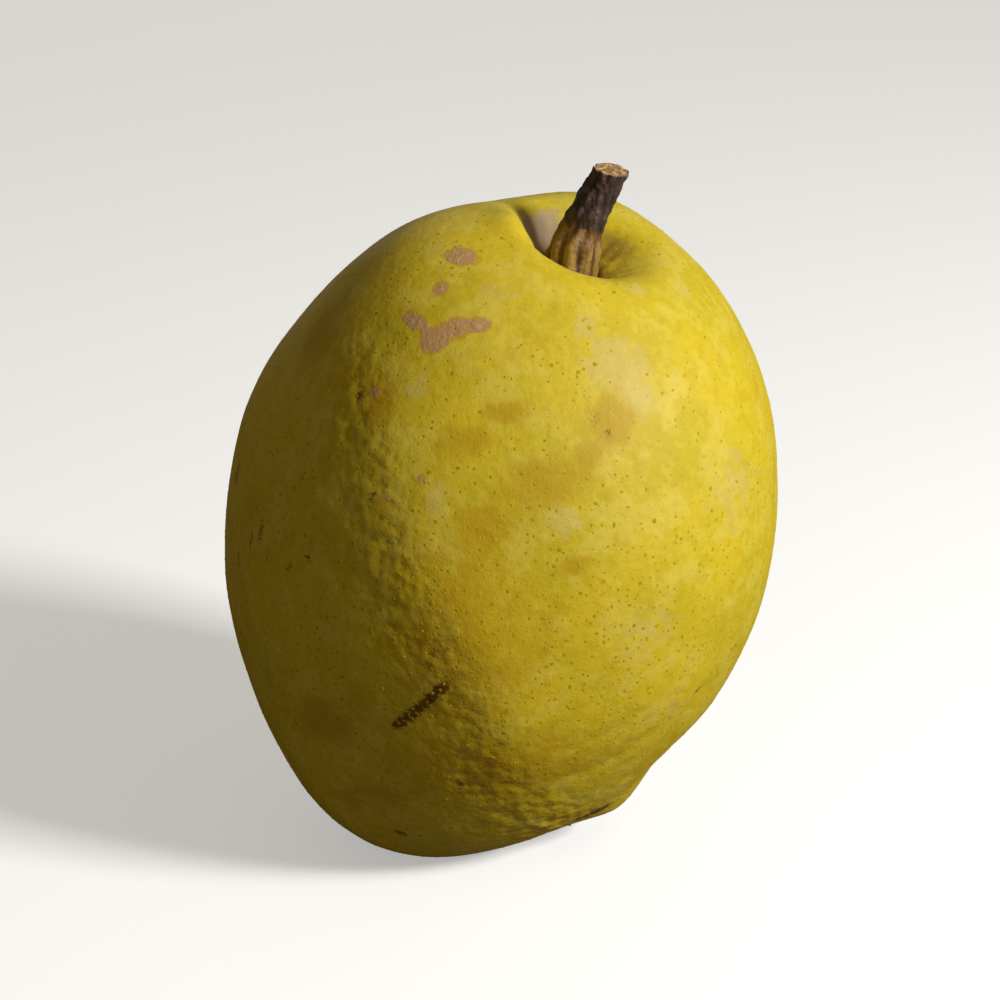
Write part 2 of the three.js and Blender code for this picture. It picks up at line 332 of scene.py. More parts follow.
def across(azimuth, elevation):
    """The directions to the right and upwards along the skin at a place."""
    turn = math.radians(azimuth)
    rise = math.radians(elevation)
    right = Vector((math.cos(turn), math.sin(turn), 0))
    upward = Vector((
        -math.sin(rise) * math.sin(turn),
        math.sin(rise) * math.cos(turn),
        math.cos(rise),
    ))
    return right, upward


def merged_copy(node, name):
    """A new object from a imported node's mesh, its loose triangles joined."""
    bm = bmesh.new()
    bm.from_mesh(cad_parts[node].data)
    bmesh.ops.remove_doubles(bm, verts=bm.verts, dist=0.001 * MM)
    mesh = bpy.data.meshes.new(name)
    bm.to_mesh(mesh)
    bm.free()
    piece = bpy.data.objects.new(name, mesh)
    bpy.context.scene.collection.objects.link(piece)
    return piece


def to_quads(piece):
    """Joins pairs of triangles into four-sided faces."""
    bm = bmesh.new()
    bm.from_mesh(piece.data)
    bmesh.ops.join_triangles(
        bm, faces=bm.faces, angle_face_threshold=math.radians(40),
        angle_shape_threshold=math.radians(60))
    bm.to_mesh(piece.data)
    bm.free()


def baked(piece):
    """Turns an object's modifiers into its mesh and removes them."""
    graph = bpy.context.evaluated_depsgraph_get()
    mesh = bpy.data.meshes.new_from_object(piece.evaluated_get(graph))
    piece.modifiers.clear()
    piece.data = mesh
    mesh.name = piece.name


def subdivided(piece, levels):
    """Smooths a mesh by subdivision."""
    modifier = piece.modifiers.new("smooth", "SUBSURF")
    modifier.levels = levels
    modifier.render_levels = levels
    baked(piece)


def points_of(mesh):
    """The corners of a mesh as rows of numbers."""
    points = np.empty(len(mesh.vertices) * 3)
    mesh.vertices.foreach_get("co", points)
    return points.reshape(-1, 3)


def normals_of(mesh):
    """The outward directions at the corners of a mesh."""
    normals = np.empty(len(mesh.vertices) * 3)
    mesh.vertex_normals.foreach_get("vector", normals)
    return normals.reshape(-1, 3)


def move_points(mesh, points):
    """Sets the corners of a mesh."""
    mesh.vertices.foreach_set("co", np.ascontiguousarray(points).ravel())
    mesh.update()


def store(mesh, name, values):
    """Keeps one number for each corner as a named attribute."""
    attribute = mesh.attributes.new(name, "FLOAT", "POINT")
    attribute.data.foreach_set("value", np.asarray(values, dtype=np.float32))


def smooth_shaded(mesh):
    """Shades a mesh smoothly."""
    mesh.polygons.foreach_set("use_smooth", [True] * len(mesh.polygons))


def noise_at(points, size, octaves=3, offset=0.0):
    """Soft noise between about -1 and 1 whose lumps have this size."""
    shift = Vector((offset, offset * 1.7, offset * 2.3))
    return np.array([noise.fractal(Vector(p) / size + shift, 0.9, 2.0, octaves) for p in points])


def cells_at(points, size, offset=0.0):
    """Distance to the nearest of a cloud of random points, in parts of the cells' size."""
    shift = Vector((offset, offset, offset))
    return np.array([noise.voronoi(Vector(p) / size + shift)[0][0] for p in points])


def spread_of(marks, outward):
    """How strongly a list of marks covers each place on the skin, from 0 to 1."""
    cover = np.zeros(len(outward))
    for mark in marks:
        right, upward = across(mark.azimuth, mark.elevation)
        along = outward @ np.array(right) * REACH / MM
        above = outward @ np.array(upward) * REACH / MM
        ahead = outward @ np.array(direction(mark.azimuth, mark.elevation)) > 0
        turn = math.radians(mark.turn)
        wide = along * math.cos(turn) + above * math.sin(turn)
        high = above * math.cos(turn) - along * math.sin(turn)
        cloud = np.exp(-(wide / mark.width) ** 2 - (high / mark.height) ** 2) * mark.strength
        cover = np.maximum(cover, cloud * ahead)
    return cover


def along_stroke(stroke, outward):
    """How far each place on the skin is from a stroke and how far along it, in millimetres."""
    here = outward * REACH / MM
    corners = [np.array(direction(*spot)) * REACH / MM for spot in stroke.places]
    nearest = np.full(len(here), 1000.0)
    travelled = np.zeros(len(here))
    before = 0.0
    for start, end in zip(corners, corners[1:]):
        length = np.linalg.norm(end - start)
        share = np.clip((here - start) @ (end - start) / length ** 2, 0, 1)
        away = np.linalg.norm(here - start - share[:, None] * (end - start), axis=1)
        closer = away < nearest
        nearest[closer] = away[closer]
        travelled[closer] = before + share[closer] * length
        before += length
    return nearest, travelled / before


def stroke_cover(strokes, outward):
    """How strongly a list of strokes covers each place on the skin, from 0 to 1."""
    cover = np.zeros(len(outward))
    for stroke in strokes:
        nearest, _ = along_stroke(stroke, outward)
        cover = np.maximum(cover, np.exp(-(nearest / stroke.width) ** 2) * stroke.strength)
    return cover


def ramp(values, low, high):
    """Values between low and high as a smooth step from 0 to 1."""
    share = np.clip((values - low) / (high - low), 0, 1)
    return share * share * (3 - 2 * share)


# ---------- helpers for materials ----------

def add(tree, kind, inputs=None, **settings):
    """Adds a node, sets its properties, and sets or links its inputs."""
    node = tree.nodes.new(kind)
    for name, value in settings.items():
        setattr(node, name, value)
    for name, value in (inputs or {}).items():
        socket = node.inputs[name]
        if isinstance(value, bpy.types.NodeSocket):
            tree.links.new(value, socket)
        else:
            socket.default_value = value
    return node


def blend(tree, share, under, over):
    """Lays one colour over another."""
    node = add(tree, "ShaderNodeMix", data_type="RGBA")
    for index, value in ((0, share), (6, under), (7, over)):
        if isinstance(value, bpy.types.NodeSocket):
            tree.links.new(value, node.inputs[index])
        else:
            node.inputs[index].default_value = value
    return node.outputs[2]


def calc(tree, operation, first, second=0.0, third=0.0):
    """One sum of up to three numbers."""
    node = add(tree, "ShaderNodeMath", operation=operation)
    for socket, value in zip(node.inputs, (first, second, third)):
        if isinstance(value, bpy.types.NodeSocket):
            tree.links.new(value, socket)
        else:
            socket.default_value = value
    return node.outputs[0]


def step(tree, value, low, high, bottom=0.0, top=1.0):
    """A smooth step of a value between two limits."""
    node = add(tree, "ShaderNodeMapRange", {
        "Value": value, "From Min": low, "From Max": high, "To Min": bottom, "To Max": top,
    }, interpolation_type="SMOOTHSTEP")
    return node.outputs["Result"]


def attribute(tree, name):
    """A number kept on the mesh."""
    return add(tree, "ShaderNodeAttribute", attribute_name=name).outputs["Fac"]


def place(tree):
    """The place on the piece, in metres."""
    return add(tree, "ShaderNodeTexCoord").outputs["Object"]


def new_group(name, inputs, outputs):
    """An empty shader group with named inputs and outputs."""
    group = bpy.data.node_groups.new(name, "ShaderNodeTree")
    for title, kind, value in inputs:
        socket = group.interface.new_socket(title, in_out="INPUT", socket_type=kind)
        if value is not None:
            socket.default_value = value
    for title, kind in outputs:
        group.interface.new_socket(title, in_out="OUTPUT", socket_type=kind)
    return group, group.nodes.new("NodeGroupInput"), group.nodes.new("NodeGroupOutput")


def mottle_group():
    """Cloudy patches of a chosen size with a soft or a sharp edge."""
    group, given, result = new_group("Mottle", (
        ("Vector", "NodeSocketVector", None),
        ("Size", "NodeSocketFloat", 0.01),
        ("Cover", "NodeSocketFloat", 0.5),
        ("Edge", "NodeSocketFloat", 0.1),
    ), (("Mask", "NodeSocketFloat"),))
    scale = calc(group, "DIVIDE", 1.0, given.outputs["Size"])
    clouds = add(group, "ShaderNodeTexNoise", {
        "Vector": given.outputs["Vector"], "Scale": scale, "Detail": 5.0, "Roughness": 0.6,
    })
    middle = calc(group, "SUBTRACT", 1.0, given.outputs["Cover"])
    low = calc(group, "SUBTRACT", middle, given.outputs["Edge"])
    high = calc(group, "ADD", middle, given.outputs["Edge"])
    mask = step(group, clouds.outputs["Fac"], low, high)
    group.links.new(mask, result.inputs["Mask"])
    return group


def ragged_group():
    """A soft cover from the mesh, broken up by noise into a ragged patch."""
    group, given, result = new_group("Ragged Edge", (
        ("Vector", "NodeSocketVector", None),
        ("Cover", "NodeSocketFloat", 0.0),
        ("Size", "NodeSocketFloat", 0.001),
        ("Break", "NodeSocketFloat", 0.5),
        ("Edge", "NodeSocketFloat", 0.1),
    ), (("Mask", "NodeSocketFloat"),))
    scale = calc(group, "DIVIDE", 1.0, given.outputs["Size"])
    flakes = add(group, "ShaderNodeTexNoise", {
        "Vector": given.outputs["Vector"], "Scale": scale, "Detail": 6.0, "Roughness": 0.65,
    })
    centred = calc(group, "SUBTRACT", flakes.outputs["Fac"], 0.5)
    broken = calc(group, "MULTIPLY_ADD", centred, given.outputs["Break"], given.outputs["Cover"])
    low = calc(group, "SUBTRACT", 0.5, given.outputs["Edge"])
    high = calc(group, "ADD", 0.5, given.outputs["Edge"])
    mask = step(group, broken, low, high)
    group.links.new(mask, result.inputs["Mask"])
    return group


def dots_group():
    """Small round dots and the halos round them, thinned out by a cover."""
    group, given, result = new_group("Dots", (
        ("Vector", "NodeSocketVector", None),
        ("Spacing", "NodeSocketFloat", 0.0015),
        ("Radius", "NodeSocketFloat", 0.15),
        ("Halo", "NodeSocketFloat", 0.35),
        ("Cover", "NodeSocketFloat", 1.0),
    ), (("Dot", "NodeSocketFloat"), ("Ring", "NodeSocketFloat")))
    scale = calc(group, "DIVIDE", 1.0, given.outputs["Spacing"])
    cells = add(group, "ShaderNodeTexVoronoi", {"Vector": given.outputs["Vector"], "Scale": scale})
    split = add(group, "ShaderNodeSeparateColor", {"Color": cells.outputs["Color"]})
    chosen = calc(group, "LESS_THAN", split.outputs["Red"], given.outputs["Cover"])
    size = calc(group, "MULTIPLY_ADD", split.outputs["Green"], 0.7, 0.5)
    radius = calc(group, "MULTIPLY", given.outputs["Radius"], size)
    inner = calc(group, "MULTIPLY", radius, 0.45)
    dot = step(group, cells.outputs["Distance"], inner, radius, 1.0, 0.0)
    halo = step(group, cells.outputs["Distance"], radius, given.outputs["Halo"], 1.0, 0.0)
    group.links.new(calc(group, "MULTIPLY", dot, chosen), result.inputs["Dot"])
    group.links.new(calc(group, "MULTIPLY", halo, chosen), result.inputs["Ring"])
    return group


def grit_group():
    """Fine unevenness as a height: soft lumps with sharper grains on them."""
    group, given, result = new_group("Grit", (
        ("Vector", "NodeSocketVector", None),
        ("Lumps", "NodeSocketFloat", 0.002),
        ("Grains", "NodeSocketFloat", 0.0004),
    ), (("Height", "NodeSocketFloat"),))
    total = None
    for title, share in (("Lumps", 0.7), ("Grains", 0.3)):
        scale = calc(group, "DIVIDE", 1.0, given.outputs[title])
        lumps = add(group, "ShaderNodeTexNoise", {
            "Vector": given.outputs["Vector"], "Scale": scale, "Detail": 3.0,
        })
        height = calc(group, "MULTIPLY", lumps.outputs["Fac"], share)
        total = height if total is None else calc(group, "ADD", total, height)
    group.links.new(total, result.inputs["Height"])
    return group


def shared(name, maker):
    """A shader group, built the first time that it is asked for."""
    return bpy.data.node_groups.get(name) or maker()


def use(tree, name, maker, **inputs):
    """Places a shared group in a material."""
    node = tree.nodes.new("ShaderNodeGroup")
    node.node_tree = shared(name, maker)
    for title, value in inputs.items():
        if isinstance(value, bpy.types.NodeSocket):
            tree.links.new(value, node.inputs[title])
        else:
            node.inputs[title].default_value = value
    return node


def new_material(name):
    """An empty material with its shader joined to its output."""
    material = bpy.data.materials.new(name)
    material.use_nodes = True
    tree = material.node_tree
    shader = tree.nodes["Principled BSDF"]
    return material, tree, shader


# ---------- the skin ----------

def lay(tree, cover, under, over, size, strength, crack, edge=0.12):
    """A ragged patch of one colour over another, and the patch's mask."""
    ragged = use(tree, "Ragged Edge", ragged_group, Vector=place(tree), Cover=cover,
                 Size=size, Break=crack, Edge=edge)
    mask = calc(tree, "MULTIPLY", ragged.outputs["Mask"], strength)
    return blend(tree, mask, under, over), mask


def skin_material(settings):
    """Ripe pear skin: mottled yellow, ochre, bloom with a painted sheen, russet, stains, fine dots and
    painted shade in the stem cavity.
    """
    material, tree, shader = new_material("pear_skin")
    here = place(tree)
    ripe = use(tree, "Mottle", mottle_group, Vector=here, Size=17 * MM, Cover=0.5, Edge=0.12)
    colour = blend(tree, ripe.outputs["Mask"], tuple(settings.green), tuple(settings.yellow))
    for size, cover, edge, strength, tone in SKIN_PATCHES:
        patch = use(tree, "Mottle", mottle_group, Vector=here, Size=size, Cover=cover, Edge=edge)
        colour = blend(tree, calc(tree, "MULTIPLY", patch.outputs["Mask"], strength), colour, tone)

    for name, over, size, strength, crack, edge in (
        ("bloom_and_sheen", tuple(settings.bloom_and_sheen), 2.0 * MM, 0.55, 1.3, 0.2),
        ("ochre", tuple(settings.ochre), 3.4 * MM, 0.85, 1.2, 0.3),
    ):
        colour, _ = lay(tree, attribute(tree, name), colour, over, size, strength, crack, edge)

    speck = attribute(tree, "speck")
    fine = use(tree, "Dots", dots_group, Vector=here, Spacing=0.95 * MM, Radius=0.23, Halo=0.5,
               Cover=speck)
    ring = calc(tree, "MULTIPLY", fine.outputs["Ring"], 0.30)
    colour = blend(tree, ring, colour, DOT_HALO)
    dot = calc(tree, "MULTIPLY", fine.outputs["Dot"], 0.75)
    colour = blend(tree, dot, colour, DARK_CORK)

    russet = attribute(tree, "russet")
    wider = calc(tree, "MULTIPLY", russet, 1.25)
    rim, _ = lay(tree, wider, colour, RUSSET_RIM, 1.7 * MM, 0.6, 1.2, 0.12)
    colour, corky = lay(tree, russet, rim, tuple(settings.russet), 1.9 * MM, 0.8, 1.25, 0.08)
    flakes = use(tree, "Mottle", mottle_group, Vector=here, Size=0.8 * MM, Cover=0.45, Edge=0.08)
    pale_flakes = calc(tree, "MULTIPLY", flakes.outputs["Mask"], calc(tree, "MULTIPLY", corky, 0.45))
    colour = blend(tree, pale_flakes, colour, RUSSET_FLAKE)

    # Tan on the cavity's far wall, painted shade in the cavity and round the stem's foot, and the stains.
    for name, over, size, strength, crack, edge in (
        ("tan", CAVITY_TAN, 2.4 * MM, 0.85, 0.9, 0.2),
        ("brown", CAVITY_SHADE, 1.6 * MM, 0.75, 0.7, 0.3),
        ("crevice_shade", CREVICE_SHADE, 0.9 * MM, 0.95, 0.5, 0.3),
        ("stain", tuple(settings.stain), 0.5 * MM, 0.88, 1.5, 0.2),
    ):
        colour, _ = lay(tree, attribute(tree, name), colour, over, size, strength, crack, edge)
    tree.links.new(colour, shader.inputs["Base Color"])

    rough = step(tree, ripe.outputs["Mask"], 0.0, 1.0, 0.60, 0.52)
    rough = calc(tree, "MULTIPLY_ADD", corky, 0.25, rough)
    tree.links.new(rough, shader.inputs["Roughness"])
    shader.inputs["Specular IOR Level"].default_value = 0.24
    shader.inputs["Subsurface Weight"].default_value = 0.1
    shader.inputs["Subsurface Radius"].default_value = (1.0, 0.6, 0.1)
    shader.inputs["Subsurface Scale"].default_value = 1.2 * MM

    grit = use(tree, "Grit", grit_group, Vector=here, Lumps=1.5 * MM, Grains=0.35 * MM)
    wrinkles = add(tree, "ShaderNodeTexVoronoi", {"Vector": here, "Scale": 750.0}, feature="SMOOTH_F1")
    pits = calc(tree, "MULTIPLY", wrinkles.outputs["Distance"], attribute(tree, "wrinkled"))
    height = calc(tree, "MULTIPLY_ADD", pits, 1.1, grit.outputs["Height"])
    height = calc(tree, "MULTIPLY_ADD", fine.outputs["Dot"], -0.3, height)
    flaky = calc(tree, "MULTIPLY", corky, 0.4)
    height = calc(tree, "MULTIPLY_ADD", flakes.outputs["Mask"], flaky, height)
    bump = add(tree, "ShaderNodeBump", {"Strength": 0.6, "Distance": 0.25 * MM, "Height": height})
    tree.links.new(bump.outputs["Normal"], shader.inputs["Normal"])
    return material


def stem_foot():
    """The middle of the stem where it comes out of the fruit."""
    points = points_of(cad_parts["stem"].data)
    lowest = points[:, 2].min()
    buried = points[points[:, 2] < lowest + 2 * MM].mean(axis=0)
    return buried + np.array((0, 0, 3.2 * MM))


def distance_from(place_on_skin, points):
    """How far points are from a place, in millimetres."""
    return np.linalg.norm(points - place_on_skin, axis=1) / MM


def wall_place(spot):
    """A place on the wall of the stem cavity."""
    return np.array(MIDDLE) + np.array(direction(*spot)) * WALL_REACH


def skin_relief(piece, settings):
    """Raises the skin's crest and swellings and presses in its dents and creases."""
    mesh = piece.data
    points = points_of(mesh)
    normals = normals_of(mesh)
    outward = points - np.array(MIDDLE)
    outward /= np.linalg.norm(outward, axis=1)[:, None]
    foot = stem_foot()
    from_foot = distance_from(foot, points)
    grounded = ramp(points[:, 2], 0.2 * MM, 4 * MM)
    open_skin = ramp(from_foot, 9, 17)

    from_crest, down_crest = along_stroke(CREST, outward)
    fading = ramp(down_crest, -0.15, 0.3) * ramp(down_crest, 1.05, 0.75)
    relief = settings.crest * np.exp(-(from_crest / CREST.width) ** 2) * fading
    relief += noise_at(points, 15 * MM, 2) * settings.swell * open_skin

    wrinkled = np.maximum(stroke_cover(FLANK, outward), 0.16)
    slanted = points @ np.array(((1.0, 0.0, 0.35), (0.0, 1.0, 0.0), (-0.35, 0.0, 1.5)))
    warped = slanted + (noise_at(points, 2.2 * MM, 2, 3.0) * 0.5 * MM)[:, None]
    dents = ramp(cells_at(warped, 3.0 * MM), 0.0, 0.55) - 0.7
    small_dents = ramp(cells_at(warped, 1.7 * MM, 5.0), 0.0, 0.6) - 0.7
    lumps = noise_at(points, 2.4 * MM, 3, 9.0)
    relief += settings.dent * wrinkled * open_skin * (dents + 0.45 * small_dents + 0.4 * lumps)
    relief -= settings.crease * 1.6 * stroke_cover(CREASES, outward)

    nearest, travelled = along_stroke(SCRATCH[0], outward)
    ticks = np.exp(-(nearest / 0.6) ** 2) * np.cos(travelled * math.tau * 13)
    relief += settings.crease * 0.5 * ticks * ramp(travelled, 0.0, 0.08) * ramp(travelled, 1.0, 0.92)

    turn = np.arctan2(points[:, 1] - foot[1], points[:, 0] - foot[0])
    near_stem = ramp(from_foot, 15, 6) * ramp(from_foot, 3.2, 5)
    folds = np.array([noise.fractal(Vector((math.cos(t), math.sin(t), d / 18)) * 3.4, 0.9, 2.0, 2)
                      for t, d in zip(turn, from_foot)])
    relief += settings.crease * near_stem * folds
    points += normals * (relief * grounded)[:, None]
    points[:, 2] = np.maximum(points[:, 2], 0.0)
    move_points(mesh, points)
    return outward, from_foot


def skin_covers(piece, outward, from_foot):
    """Keeps how much of each mark covers the skin, for its material."""
    mesh = piece.data
    points = points_of(mesh)
    store(mesh, "ochre", spread_of(OCHRE, outward))
    # Pale bloom, partly a painted sheen on the lit upper right.
    store(mesh, "bloom_and_sheen", spread_of(BLOOM_AND_SHEEN, outward))
    store(mesh, "russet", spread_of(RUSSET, outward))
    scars = np.maximum(spread_of(STAIN, outward), stroke_cover(SCRATCH, outward))
    store(mesh, "stain", scars)
    far_wall = np.exp(-(distance_from(wall_place(FAR_WALL), points) / 4.4) ** 2)
    right_wall_shade = np.exp(-(distance_from(wall_place(SHADED_RIGHT_WALL), points) / 4.0) ** 2)
    store(mesh, "tan", far_wall)
    # Painted shade on the cavity's right wall, deeper towards the stem's foot.
    store(mesh, "brown", np.maximum(0.8 * right_wall_shade, ramp(from_foot, 7.5, 3.5)))
    # Painted shade in the narrow ring round the stem's foot.
    store(mesh, "crevice_shade", ramp(from_foot, 4.6, 3.5))
    store(mesh, "wrinkled", np.clip(stroke_cover(FLANK, outward) + 0.2, 0, 1))
    lower = ramp(-outward[:, 2], -0.75, 0.35)
    patches = noise_at(points, 11 * MM, 2, 8.0)
    middle = spread_of(SPECKLED, outward)
    store(mesh, "speck", np.clip(0.16 + 0.36 * lower + 0.5 * middle + 0.3 * patches, 0.05, 1))


class PEAR_OT_skin(bpy.types.Operator):
    """Builds the fruit's skin with its relief, marks and colours"""

    bl_idname = "pear.skin"
    bl_label = "Skin"

    def execute(self, context):
        settings = context.scene.pear_skin
        piece = merged_copy("fruit", "skin")
        to_quads(piece)
        subdivided(piece, settings.levels)
        outward, from_foot = skin_relief(piece, settings)
        skin_covers(piece, outward, from_foot)
        smooth_shaded(piece.data)
        piece.data.materials.clear()
        piece.data.materials.append(skin_material(settings))
        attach(piece, BODY)
        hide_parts("fruit")
        return {"FINISHED"}


# ---------- the stem ----------

def stem_material(settings):
    """Near-black wrinkled bark with grey flecks, partly a painted highlight on its wrinkles, an olive
    ridged foot with painted shade in its grooves, and a pale cut face.
    """
    material, tree, shader = new_material("pear_stem")
    here = place(tree)
    drawn_out = add(tree, "ShaderNodeMapping", {"Vector": here, "Scale": (1.0, 1.0, 0.22)})
    along = drawn_out.outputs["Vector"]
    streaks = use(tree, "Mottle", mottle_group, Vector=along, Size=0.9 * MM, Cover=0.5, Edge=0.12)
    spots = use(tree, "Mottle", mottle_group, Vector=here, Size=1.6 * MM, Cover=0.42, Edge=0.08)
    bark = blend(tree, streaks.outputs["Mask"], tuple(settings.bark), BARK_STREAK)
    # Grey flecks on the raised wrinkles, partly a painted highlight.
    grey_and_highlight = calc(tree, "MULTIPLY", attribute(tree, "ridge"), spots.outputs["Mask"])
    bark = blend(tree, calc(tree, "MULTIPLY", grey_and_highlight, 0.75), bark, BARK_GREY_AND_HIGHLIGHT)
    foot = blend(tree, streaks.outputs["Mask"], FOOT_STREAK, tuple(settings.foot))
    pale = calc(tree, "MULTIPLY", spots.outputs["Mask"], 0.55)
    foot = blend(tree, pale, foot, FOOT_PALE)
    # Painted shade darkens the grooves between the foot's ridges.
    groove_shade = calc(tree, "MULTIPLY", attribute(tree, "groove_shade"), 0.85)
    foot = blend(tree, groove_shade, foot, FOOT_GROOVE_SHADE)
    upper = attribute(tree, "upper")
    lower_edge = calc(tree, "ADD", upper, 0.3)
    foot, _ = lay(tree, lower_edge, foot, FOOT_EDGE, 1.4 * MM, 0.8, 1.3, 0.2)
    colour, _ = lay(tree, upper, foot, bark, 1.5 * MM, 1.0, 1.4, 0.14)
    rings = add(tree, "ShaderNodeTexNoise", {"Vector": here, "Scale": 1600.0, "Detail": 4.0})
    ringed = step(tree, rings.outputs["Fac"], 0.4, 0.62)
    wood = blend(tree, ringed, CUT_RING, tuple(settings.cut))
    wood = blend(tree, attribute(tree, "pith"), wood, PITH)
    colour = blend(tree, attribute(tree, "cut"), colour, wood)
    tree.links.new(colour, shader.inputs["Base Color"])
    shader.inputs["Roughness"].default_value = 0.62
    grit = use(tree, "Grit", grit_group, Vector=along, Lumps=0.7 * MM, Grains=0.18 * MM)
    bump = add(tree, "ShaderNodeBump", {
        "Strength": 0.8, "Distance": 0.25 * MM, "Height": grit.outputs["Height"],
    })
    tree.links.new(bump.outputs["Normal"], shader.inputs["Normal"])
    return material


def remeshed(piece, grain):
    """Divides a closed mesh into even small faces."""
    modifier = piece.modifiers.new("even", "REMESH")
    modifier.mode = "VOXEL"
    modifier.voxel_size = grain
    baked(piece)


def stem_axis(points):
    """The foot and the tip of the stem."""
    low = points[:, 2].min()
    high = points[:, 2].max()
    bottom = points[points[:, 2] < low + 2 * MM].mean(axis=0)
    top = points[points[:, 2] > high - 1.6 * MM].mean(axis=0)
    return bottom, top


def stem_sculpt(piece, settings):
    """Ridges at the foot, wrinkles and knobs in the bark, and a torn cut face."""
    mesh = piece.data
    points = points_of(mesh)
    normals = normals_of(mesh)
    bottom, top = stem_axis(points)
    axis = (top - bottom) / np.linalg.norm(top - bottom)
    height = (points - bottom) @ axis
    share = np.clip(height / np.linalg.norm(top - bottom), 0, 1)
    bend = np.sin(share * math.pi)
    side = np.cross(axis, (0, 1, 0))
    side /= np.linalg.norm(side)
    depth = np.cross(axis, side)
    radial = points - bottom - height[:, None] * axis
    levels = np.linspace(0, height.max(), SLICES)
    middle = np.array([radial[np.abs(height - level) < MM].mean(axis=0) for level in levels])
    last = SLICES - 1
    slot = np.clip((height / height.max() * last).astype(int), 0, last)
    radial = radial - middle[slot]
    angle = np.arctan2(radial @ depth, radial @ side)
    upper = ramp(share, 0.40, 0.56)
    facing = normals @ axis
    cut = ramp(facing, 0.72, 0.9) * ramp(share, 0.86, 0.94)
    oblique = radial @ (side * -0.24 - depth * 0.12) * ramp(share, 0.72, 0.98)

    flutes = np.cos(angle * 8 + 1.5 * np.sin(share * 4) + 0.8)
    ridges = (flutes * (1 - upper) + 0.35 * np.cos(angle * 11 - share * 6) * upper)
    wrinkles = noise_at(points * np.array((1, 1, 0.45)), 1.1 * MM, 4, 2.0)
    knobs = noise_at(points, 2.8 * MM, 2, 6.0)
    relief = settings.ridge * ridges * 0.8 * (1 - cut)
    relief += settings.wrinkle * wrinkles * (0.45 + 0.55 * upper) * (1 - cut)
    relief += 0.3 * MM * knobs * bend
    relief += 0.3 * MM * ramp(share, 0.30, 0.12)
    facing_left = np.clip(normals @ np.array((-0.94, -0.34, 0.0)), 0, 1)
    relief += 0.55 * MM * ramp(share, 0.48, 0.22) * facing_left
    radius = np.linalg.norm(radial, axis=1)
    rings = np.cos(radius / (0.42 * MM) * math.pi) * 0.05 * MM
    torn = noise_at(points, 1.0 * MM, 3, 4.0) * 0.22 * MM
    relief += cut * (rings + torn)
    points = points + normals * relief[:, None] + axis * oblique[:, None]
    move_points(mesh, points)
    store(mesh, "upper", ramp(share + 0.06 * knobs, 0.36, 0.76))
    # Where the grooves of the foot lie, for their painted shade.
    store(mesh, "groove_shade", ramp(-flutes, 0.25, 0.95) * (1 - upper))
    # Where the wrinkles stand highest, which takes the grey flecks and painted highlight.
    store(mesh, "ridge", ramp(wrinkles + 0.4 * ridges, 0.25, 0.7))
    store(mesh, "cut", cut)
    store(mesh, "pith", ramp(radius, 0.75 * MM, 0.3 * MM) * cut)


class PEAR_OT_stem(bpy.types.Operator):
    """Builds the woody stem with its ridged foot, wrinkled bark and cut face"""

    bl_idname = "pear.stem"
    bl_label = "Stem"

    def execute(self, context):
        settings = context.scene.pear_stem
        piece = merged_copy("stem", "stem_wood")
        remeshed(piece, settings.grain)
        stem_sculpt(piece, settings)
        smooth_shaded(piece.data)
        piece.data.materials.clear()
        piece.data.materials.append(stem_material(settings))
        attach(piece, BODY)
        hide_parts("stem")
        return {"FINISHED"}


# ---------- the calyx ----------

def dried_material():
    """Dry, dull, almost black flower remains with paler edges."""
    material, tree, shader = new_material("dried_flower")
    here = place(tree)
    streaks = use(tree, "Mottle", mottle_group, Vector=here, Size=0.8 * MM, Cover=0.5, Edge=0.15)
    colour = blend(tree, streaks.outputs["Mask"], DRIED_DARK, DRIED_PALE)
    tree.links.new(colour, shader.inputs["Base Color"])
    shader.inputs["Roughness"].default_value = 0.85
    grit = use(tree, "Grit", grit_group, Vector=here, Lumps=0.5 * MM, Grains=0.15 * MM)
    bump = add(tree, "ShaderNodeBump", {
        "Strength": 0.7, "Distance": 0.2 * MM, "Height": grit.outputs["Height"],
    })
    tree.links.new(bump.outputs["Normal"], shader.inputs["Normal"])
    return material


class PEAR_OT_calyx(bpy.types.Operator):
    """Crumples the dried sepals and stamens that stand in the calyx basin"""

    bl_idname = "pear.calyx"
    bl_label = "Calyx"

    def execute(self, context):
        material = dried_material()
        nodes = sorted(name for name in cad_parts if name.startswith(("sepal", "stamen")))
        if not nodes:
            raise RuntimeError("The frame holds no sepals or stamens")
        for node in nodes:
            piece = merged_copy(node, node + "_dried")
            subdivided(piece, 2)
            points = points_of(piece.data)
            crumple = noise_at(points, 0.9 * MM, 3, 1.0) * 0.1 * MM
            move_points(piece.data, points + normals_of(piece.data) * crumple[:, None])
            smooth_shaded(piece.data)
            piece.data.materials.clear()
            piece.data.materials.append(material)
            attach(piece, BODY)
            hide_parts(node)
        return {"FINISHED"}


# ---------- the specks ----------

def speck_material():
    """Corky brown, darker in some specks than in others."""
    material, tree, shader = new_material("cork_speck")
    tone = use(tree, "Mottle", mottle_group, Vector=place(tree), Size=2.2 * MM, Cover=0.5, Edge=0.2)
    colour = blend(tree, tone.outputs["Mask"], DARK_CORK, LIGHT_CORK)
    tree.links.new(colour, shader.inputs["Base Color"])
    shader.inputs["Roughness"].default_value = 0.7
    shader.inputs["Specular IOR Level"].default_value = 0.12
    return material


